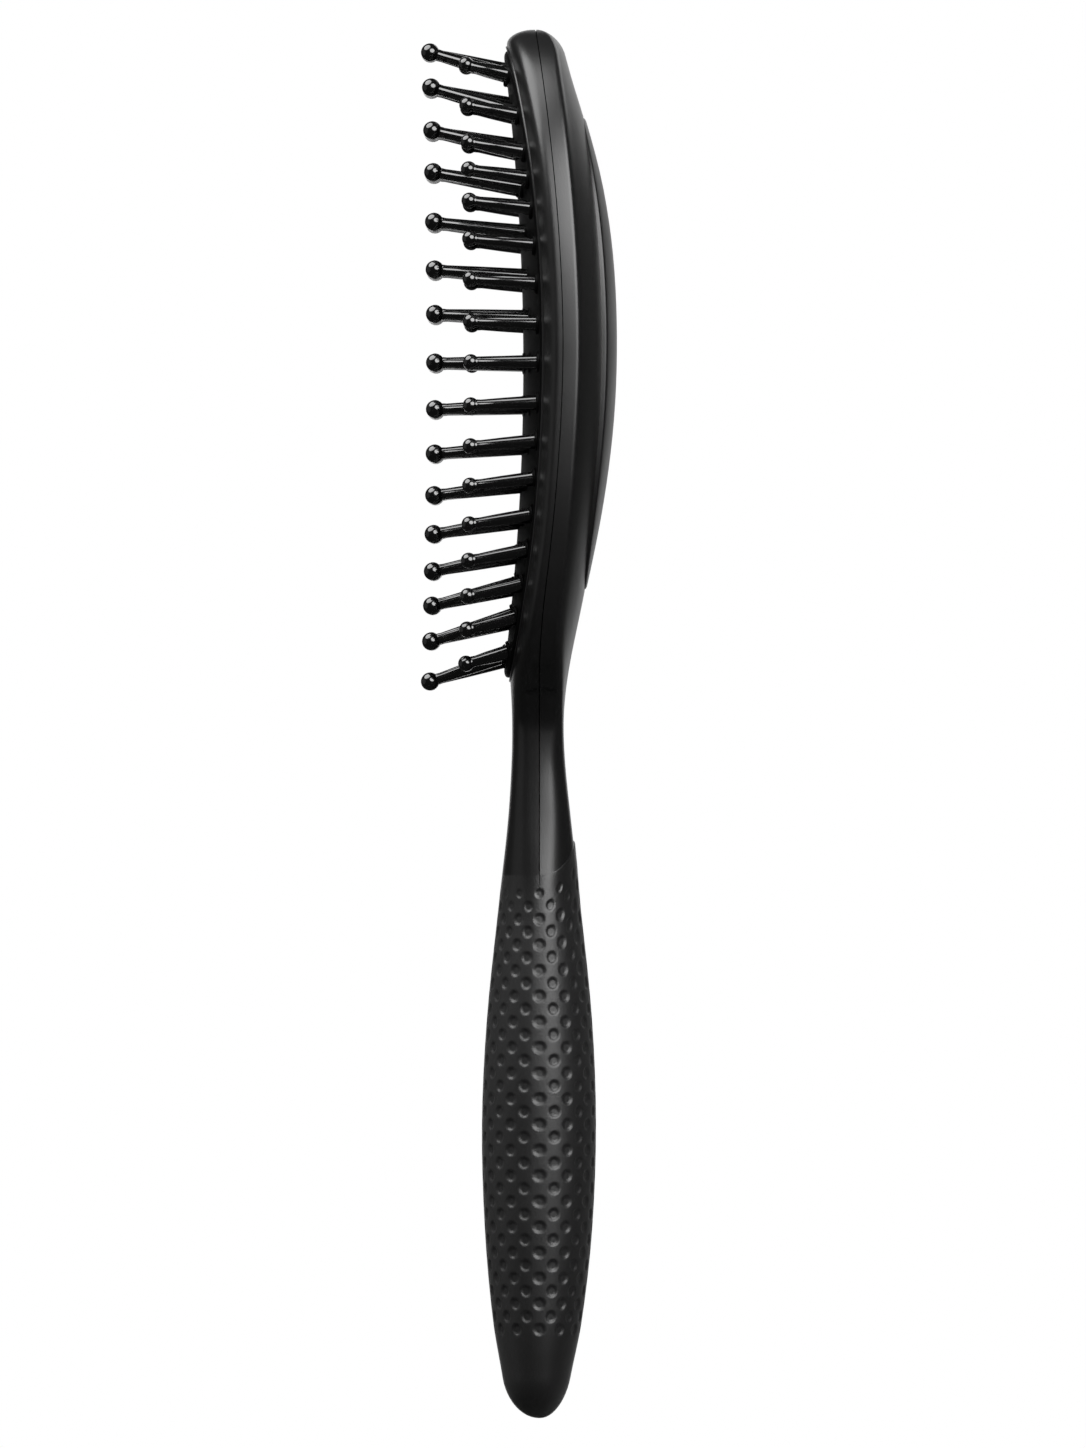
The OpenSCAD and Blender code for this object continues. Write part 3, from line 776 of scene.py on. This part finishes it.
@dataclass
class OvalPad(ABC):
    """A closed oval pad: rings from the middle out, round the edge and back underneath."""

    edge_round: float
    rings: int
    around: int
    bends: int = 5

    @property
    @abstractmethod
    def half(self) -> Pair:
        """Half width and half length."""

    @abstractmethod
    def point(self, i: int, j: int) -> Point:
        """The point of ring j in direction i."""

    def plan(self, i: int, j: int) -> tuple[float, float, float, bool]:
        """Where ring j lies in direction i.

        Args:
            i: the direction.
            j: the ring.

        Returns:
            Places across and along from the middle, how far the edge has rounded down there,
            and whether the ring is past the edge and underneath.
        """
        a = 2 * math.pi * i / self.around
        power = 2 / FORM.oval_power
        flat = 1 - self.edge_round / self.half[0]
        past, sunk = j - self.rings, 0.0
        if past <= 0:
            part = flat * j / self.rings
        elif past <= self.bends:
            turn = QUARTER * past / self.bends
            part = flat + (1 - flat) * math.sin(turn)
            sunk = self.edge_round * (1 - math.cos(turn))
        else:
            part = float(past == self.bends + 1)
        across, along = (half * math.copysign(abs(way) ** power, way) * part
                         for half, way in zip(self.half, (math.sin(a), math.cos(a))))
        return across, along, sunk, past > self.bends

    def mesh(self) -> bmesh.types.BMesh:
        """The pad as a new mesh."""
        mesh = bmesh.new()
        sheet(mesh, self.around, self.rings + self.bends + 2,
              lambda i, j: self.point(i % self.around, j))
        return mesh


@dataclass
class BackCover(OvalPad):
    """The raised oval cover in its seat on the back of the head."""

    edge_round: float = 0.35 * MM
    rings: int = 14
    around: int = 200
    seat: float = 0.5 * MM

    @property
    def half(self) -> Pair:
        """Half width and half length."""
        return (FORM.cover_width / 2, FORM.cover_length / 2)

    def point(self, i: int, j: int) -> Point:
        """The point of ring j in direction i, over the shell or down in the seat."""
        x, along, sunk, under = self.plan(i, j)
        y = FORM.cover_mid + along
        high = FORM.cover_height(y)
        if under:
            sunk = high + self.seat
        return (x, y, FORM.at(Side.BACK, x, y) - high + sunk)

    def build(self) -> bpy.types.Object:
        """Makes the cover."""
        return finished("satin_back_cover", self.mesh(), COVER, ["back_cover"])


@dataclass
class GripSkin:
    """A soft grip skin with staggered round dimples, some of them across the parting line.

    The dimples lie in files round the skin and grow fainter toward its upper edge. The back
    skin's edge is an arch and stands proud with a rounded lip.
    """

    side: Side
    name: str
    pitch: float = 4.15 * MM
    files: int = 13
    fine: int = 9
    dimple: float = 1.05 * MM
    deep: float = 0.26 * MM
    slope: float = 0.38
    proud: float = 0.26 * MM
    lip: float = 0.42 * MM
    start: float = 14.5 * MM
    stop: float = 1.2 * MM
    fade: float = 9 * MM
    faint: float = 0.45
    meet: float = 3 * MM
    step: float = 0.205 * MM
    thick: float = 0.85 * MM
    crease: float = 70.0
    end_steps: int = 12
    smooth_steps: int = 8
    lip_steps: int = 4

    def surface_point(self, along: float, angle: float) -> Vector:
        """The undimpled skin at a place along the grip and an angle from the seam."""
        c, y, proud = math.cos(angle), along, 0.0
        if self.side is Side.BACK:
            y = FORM.arched(along, c)
            proud = self.proud * self.lift(along) * (1 - c * c)
        closed = ease(clamp01((FORM.grip_edge - along) / self.meet)) * c * c
        z = FORM.surface(self.side, y, c) - self.side.value * FORM.seam_gap / 2 * closed
        return Vector((c * FORM.half_width(y), y, z - proud))

    def lift(self, y: float) -> float:
        """How far the back skin's upper edge stands proud, from 0 to 1, with a rounded lip."""
        return (ease(clamp01((y - FORM.grip_edge + self.fade) / self.fade))
                * round_end(FORM.grip_edge - y, self.lip))

    def rows(self) -> list[float]:
        """Places along the grip: close at the tail and the lip, even between them."""
        rows = [FORM.tail + FORM.tail_round * (1 - math.cos(QUARTER * part))
                for part in shares(self.end_steps)]
        first, last = FORM.tail + self.start - self.pitch / 2, FORM.grip_edge - self.lip
        rows += [mix(rows[-1], first, part) for part in shares(self.smooth_steps)[1:]]
        even = int((last - first) / self.step)
        rows += [mix(first, last, part) for part in shares(even)[1:]]
        return rows + [last + self.lip * math.sin(QUARTER * part)
                       for part in shares(self.lip_steps)[1:]]

    def outward(self, grid: np.ndarray) -> np.ndarray:
        """Directions out of the skin; at the parting line they lie level, for both skins.

        Args:
            grid: the skin's points, row by row.

        Returns:
            A unit vector for every point.
        """
        along = np.gradient(grid, axis=0)
        normal = np.cross(along, np.gradient(grid, axis=1))
        for edge in (0, -1):
            normal[:, edge] = np.cross(along[:, edge], [0, 0, 1])
        normal /= np.maximum(np.linalg.norm(normal, axis=2, keepdims=True), 1e-12)
        axis = np.array([0, 0, FORM.stem_seam * FORM.depth])
        return normal * np.sign(np.sum(normal * (grid - axis) * [1, 0, 1], axis=2,
                                       keepdims=True))

    def sunk(self, y: float, file: float, width: float) -> float:
        """How deep the dimples go at a place.

        Args:
            y: place along the grip.
            file: place round the skin, counted in files of dimples.
            width: distance between two files.

        Returns:
            The depth there.
        """
        first = FORM.tail + self.start
        depth = 0.0
        for lane in (math.floor(file), math.floor(file) + 1):
            shift = 0.5 if lane % 2 else 0.0
            step = round((y - first) / self.pitch - shift)
            centre = first + (step + shift) * self.pitch
            left = FORM.grip_edge - centre
            if step < 0 or left < self.stop:
                continue
            size = mix(self.faint, 1, ease(clamp01(left / self.fade)))
            away = math.hypot((file - lane) * width, y - centre) / (self.dimple * size**0.5)
            if away < 1:
                depth = max(depth, self.deep * size * ease(clamp01((1 - away) / self.slope)))
        return depth

    def build(self) -> bpy.types.Object:
        """Makes the skin and sinks its dimples.

        Returns:
            The skin's object.
        """
        rows = self.rows()
        columns = self.files * self.fine
        grid = np.array([[self.surface_point(y, math.pi * part) for part in shares(columns)]
                         for y in rows])
        normal = self.outward(grid)
        width = np.linalg.norm(np.diff(grid, axis=1), axis=2).sum(axis=1) / self.files
        for j, y in enumerate(rows):
            for i in range(columns + 1):
                grid[j, i] -= normal[j, i] * self.sunk(y, i / self.fine, width[j])
        mesh = bmesh.new()
        sheet(mesh, columns, len(rows) - 1, lambda i, j: tuple(grid[j, i]))
        piece = finished("soft_" + self.name, mesh, GRIP, [self.name], self.crease)
        wall = piece.modifiers.new("wall", "SOLIDIFY")
        wall.thickness = self.thick
        wall.offset = -1
        return piece


class PinKind(Enum):
    """The two kinds of pin, by how their nodes' names start."""

    LONG = "long_pin_row"
    SHORT = "short_pin_pair"

    @property
    def ball(self) -> float:
        """Radius of the ball tip."""
        return (1.5 if self is PinKind.LONG else 1.3) * MM


@dataclass
class Pin:
    """One pin: a root under the rubber, a tapered shaft and a ball tip."""

    foot: Vector
    ball: Vector
    kind: PinKind
    root_depth: float = 3.3 * MM
    root_thick: float = 0.8 * MM
    root: float = 1.7 * MM
    base: float = 1.2 * MM
    base_high: float = 0.3 * MM
    tip: float = 0.85 * MM
    neck_start: float = 0.7 * MM
    neck_stop: float = 0.15 * MM
    neck_swell: float = 1.06
    neck_join: float = 1.04
    around: int = 20
    ball_steps: int = 9

    def upright(self) -> Matrix:
        """The matrix that stands a shape along the pin, with its origin at the foot."""
        axis = (self.ball - self.foot).normalized()
        return Matrix.Translation(self.foot) @ Vector((0, 0, 1)).rotation_difference(
            axis).to_matrix().to_4x4()

    def profile(self) -> list[Pair]:
        """The pin's half outline, from the root's underside to the top of the ball."""
        length = (self.ball - self.foot).length
        ball = self.kind.ball
        low, under = -self.root_depth, -self.root_depth - self.root_thick
        start = math.pi - math.asin(min(1.0, self.tip * self.neck_join / ball))
        neck = length + ball * math.cos(start)
        line = [(0.0, under), (self.root, under), (self.root, low), (self.base, low),
                (self.base, self.base_high), (mix(self.base, self.tip, 0.5), length * 0.5),
                (self.tip, neck - self.neck_start),
                (self.tip * self.neck_swell, neck - self.neck_stop)]
        for part in shares(self.ball_steps)[:-1]:
            a = mix(start, 0.0, part)
            line.append((ball * math.sin(a), length + ball * math.cos(a)))
        return line + [(0.0, length + ball)]


@dataclass
class Cushion(OvalPad):
    """The rubber cushion: a crowned pad whose edge dips into the front shell."""

    edge_round: float = 0.8 * MM
    rings: int = 40
    around: int = 220
    gap: float = 0.3 * MM
    wall: float = 3.4 * MM
    crease: float = 60.0
    collar_steps: int = 18
    collar: Outline = ((1.85, -0.3), (1.75, 0.06), (1.6, 0.14), (1.4, 0.16), (1.28, 0.1),
                       (1.26, -0.4), (1.85, -0.3))

    @property
    def half(self) -> Pair:
        """Half width and half length."""
        return (FORM.pad_half[0] - self.gap, FORM.pad_half[1] - self.gap)

    def point(self, i: int, j: int) -> Point:
        """The point of ring j in direction i, under the crown."""
        x, along, sunk, under = self.plan(i, j)
        y = FORM.head_mid + along
        return (x, y, FORM.crown(x, y) - (self.wall if under else sunk))

    def build(self, pins: Sequence[Pin]) -> bpy.types.Object:
        """Makes the cushion with a low collar round every pin.

        Args:
            pins: the pins that stand in it.

        Returns:
            The cushion's object.
        """
        mesh = self.mesh()
        profile = [(r * MM, z * MM) for r, z in self.collar]
        for pin in pins:
            turned(mesh, profile, self.collar_steps, pin.upright())
        piece = finished("rubber_cushion", mesh, RUBBER, ["cushion"], self.crease)
        return piece


@dataclass
class PinField:
    """All the pins, laid through the solids that they stand for."""

    near_top: float = 0.9
    near_root: float = 1.2 * MM
    crease: float = 50.0
    settle_steps: int = 40

    def pins_of(self, node: str, kind: PinKind) -> list[Pin]:
        """The pins of one node.

        Args:
            node: the node's name.
            kind: long or short.

        Returns:
            One pin for each separate solid of the node, from one side to the other.
        """
        work = bmesh.new()
        work.from_mesh(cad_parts[node].data)
        bmesh.ops.remove_doubles(work, verts=work.verts, dist=SLIVER)
        left, pins = set(work.verts), []
        while left:
            stack = [left.pop()]
            solid = list(stack)
            while stack:
                for edge in stack.pop().link_edges:
                    for vert in edge.verts:
                        if vert in left:
                            left.remove(vert)
                            solid.append(vert)
                            stack.append(vert)
            pins.append(self.fitted([v.co.copy() for v in solid], kind))
        work.free()
        return sorted(pins, key=lambda pin: pin.foot.x)

    def fitted(self, points: list[Vector], kind: PinKind) -> Pin:
        """A pin laid through the middle of a solid's ball and the middle of its root.

        Args:
            points: the solid's points.
            kind: long or short.

        Returns:
            The pin, with its foot on the cushion's crown.
        """
        top, low = max(p.z for p in points), min(p.z for p in points)
        high = [p for p in points if p.z > top - kind.ball * self.near_top]
        deep = [p for p in points if p.z < low + self.near_root]
        x = middle([p.x for p in points])
        centre = Vector((x, middle([p.y for p in high]), top - kind.ball))
        root = Vector((x, middle([p.y for p in deep]), middle([p.z for p in deep])))
        axis = (centre - root).normalized()
        foot = root.copy()
        for _ in range(self.settle_steps):
            foot += axis * (FORM.crown(foot.x, foot.y) - foot.z) / axis.z
        return Pin(foot, centre, kind)

    def build(self) -> list[Pin]:
        """Makes every row and pair on its own body.

        Returns:
            All the pins.
        """
        pins: list[Pin] = []
        for node in sorted(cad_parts):
            for kind in PinKind:
                if not node.startswith(kind.value):
                    continue
                mine = self.pins_of(node, kind)
                mesh = bmesh.new()
                for pin in mine:
                    turned(mesh, pin.profile(), pin.around, pin.upright())
                finished("glossy_" + node, mesh, PIN, [node], self.crease,
                         node + "_body")
                pins += mine
        return pins


@dataclass(frozen=True)
class Lamp:
    """A soft oval lamp that faces the middle of the brush.

    Its size is its length and width, its length lies along, and its power is in watts.
    """

    name: str
    place: Point
    size: Pair
    along: Point
    power: float

    def build(self) -> None:
        """Makes the lamp and stands it in its place."""
        data = bpy.data.lights.new(self.name, "AREA")
        data.shape = "ELLIPSE"
        data.size, data.size_y = self.size
        data.energy = self.power
        back = Vector(self.place).normalized()
        side = back.cross(Vector(self.along)).normalized()
        turn = Matrix((side.cross(back), side, back)).transposed().to_4x4()
        linked(self.name, data).matrix_world = Matrix.Translation(self.place) @ turn


@dataclass
class Studio:
    """The plain pale floor, the soft lights and the camera of the photograph.

    The camera stands level with the floor, so the floor is seen edge-on and the surround shows
    white on both sides of it; middle_height is what the frame is centred on. The backdrop
    spans the part of the surround whose direction has these x, from its rim to full white.
    """

    image: tuple[int, int] = (1086, 1448)
    pixels_per_mm: float = 6.17
    middle_height: float = 12 * MM
    distance: float = 6.0
    film: float = 36.0
    far_clip: float = 50.0
    surround: float = 0.03
    backdrop: Pair = (-0.94, -0.99)
    floor_drop: float = 0.02 * MM
    floor_size: float = 6.0
    floor_tone: tuple[float, float, float, float] = (0.96, 0.96, 0.96, 1)
    floor_roughness: float = 0.9
    floor_specular: float = 0.1
    floor_glow: float = 0.45
    lamps: tuple[Lamp, ...] = (
        Lamp("key_light", (0.865, 0.5, -0.44), (0.98, 1.1), (0, 1, 0), 12.5),
        Lamp("end_light", (0.17, 0.95, 0.53), (1.25, 1.25), (1, 0, 0), 14),
        Lamp("back_light", (-0.86, 0.52, -0.44), (0.6, 0.6), (0, 1, 0), 0.9),
        Lamp("top_light", (0.1, 0.1, 1.5), (1.6, 1.6), (0, 1, 0), 0.7))

    def camera(self) -> None:
        """Looks along -X with the head up and the pins to the left."""
        data = bpy.data.cameras.new("photo_camera")
        data.sensor_fit = "VERTICAL"
        data.sensor_height = self.film
        tall = self.image[1] / self.pixels_per_mm * MM
        data.lens = self.film * self.distance / tall
        data.shift_x = -(self.middle_height + self.floor_drop) / tall
        data.clip_end = self.far_clip
        camera = linked("photo_camera", data)
        turn = Matrix(((0, 0, 1), (0, 1, 0), (-1, 0, 0))).to_4x4()
        camera.matrix_world = Matrix.Translation((self.distance, 0, -self.floor_drop)) @ turn
        bpy.context.scene.camera = camera

    def world(self) -> None:
        """A dim even surround with a white backdrop behind the brush.

        The camera sees white all round; gloss shows the backdrop where it stands.
        """
        world = bpy.data.worlds.new("pale_surround")
        world.use_nodes = True
        bpy.context.scene.world = world
        graph, nodes = Graph(world.node_tree), world.node_tree.nodes
        dim = nodes["Background"]
        graph.feed(dim, {"Color": WHITE, "Strength": self.surround})
        way = graph.add("TexCoord", {}).outputs["Generated"]
        parts = graph.add("SeparateXYZ", {0: way})
        backdrop = graph.add("MapRange", {
            "From Min": self.backdrop[0], "From Max": self.backdrop[1], "To Min": 0.0,
            "To Max": 1.0, "Value": parts.outputs["X"]})
        backdrop.interpolation_type = "SMOOTHSTEP"
        white = graph.add("Background", {"Color": WHITE, "Strength": 1.0})
        path = graph.add("LightPath", {}).outputs
        gloss = graph.combine("MULTIPLY", path["Is Glossy Ray"], backdrop.outputs["Result"])
        clear = graph.combine("MAXIMUM", path["Is Transmission Ray"], gloss)
        seen = graph.combine("MAXIMUM", path["Is Camera Ray"], clear)
        choose = graph.add("MixShader", {"Fac": seen, 1: dim.outputs[0], 2: white.outputs[0]})
        graph.feed(nodes["World Output"], {"Surface": choose.outputs[0]})

    def floor(self) -> None:
        """The plain pale floor under the brush."""
        mesh = bmesh.new()
        bmesh.ops.create_grid(mesh, x_segments=1, y_segments=1, size=self.floor_size)
        data = to_data("floor", mesh)
        floor = linked("floor", data)
        floor.location = (0, 0, -self.floor_drop)
        floor.visible_shadow = False
        floor.visible_glossy = False
        mat = bpy.data.materials.new("pale_floor")
        mat.use_nodes = True
        graph = Graph(mat.node_tree)
        seen = graph.add("LightPath", {}).outputs["Is Camera Ray"]
        graph.feed(mat.node_tree.nodes["Principled BSDF"], {
            "Base Color": self.floor_tone, "Roughness": self.floor_roughness,
            "Specular IOR Level": self.floor_specular, "Emission Color": WHITE,
            "Emission Strength": graph.combine("MULTIPLY", seen, self.floor_glow)})
        data.materials.append(mat)

    def build(self) -> None:
        """Sets the whole studio."""
        self.camera()
        self.world()
        self.floor()
        for lamp in self.lamps:
            lamp.build()
        bpy.context.scene.view_settings.view_transform = "Standard"


def main() -> None:
    """Builds the brush piece by piece, then the studio."""
    logging.basicConfig(level=logging.INFO, format="%(message)s")
    pins = PinField().build()
    Cushion().build(pins)
    Shell(Side.FRONT, "front_shell", FORM.head_mid, FORM.pad_half, well_depth=3.2 * MM,
          lip=0.46 * MM, floor=False, beaded=True).build()
    gap = 0.1 * MM
    cover = BackCover()
    Shell(Side.BACK, "back_shell", FORM.cover_mid, (cover.half[0] + gap, cover.half[1] + gap),
          well_depth=0.6 * MM, lip=0.08 * MM, floor=True, beaded=False).build()
    cover.build()
    GripSkin(Side.FRONT, "front_grip_skin").build()
    GripSkin(Side.BACK, "back_grip_skin").build()
    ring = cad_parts["cushion_retainer"]
    ring.data.materials.clear()
    ring.data.materials.append(RING.material())
    Studio().build()


if __name__ == "__main__":
    main()
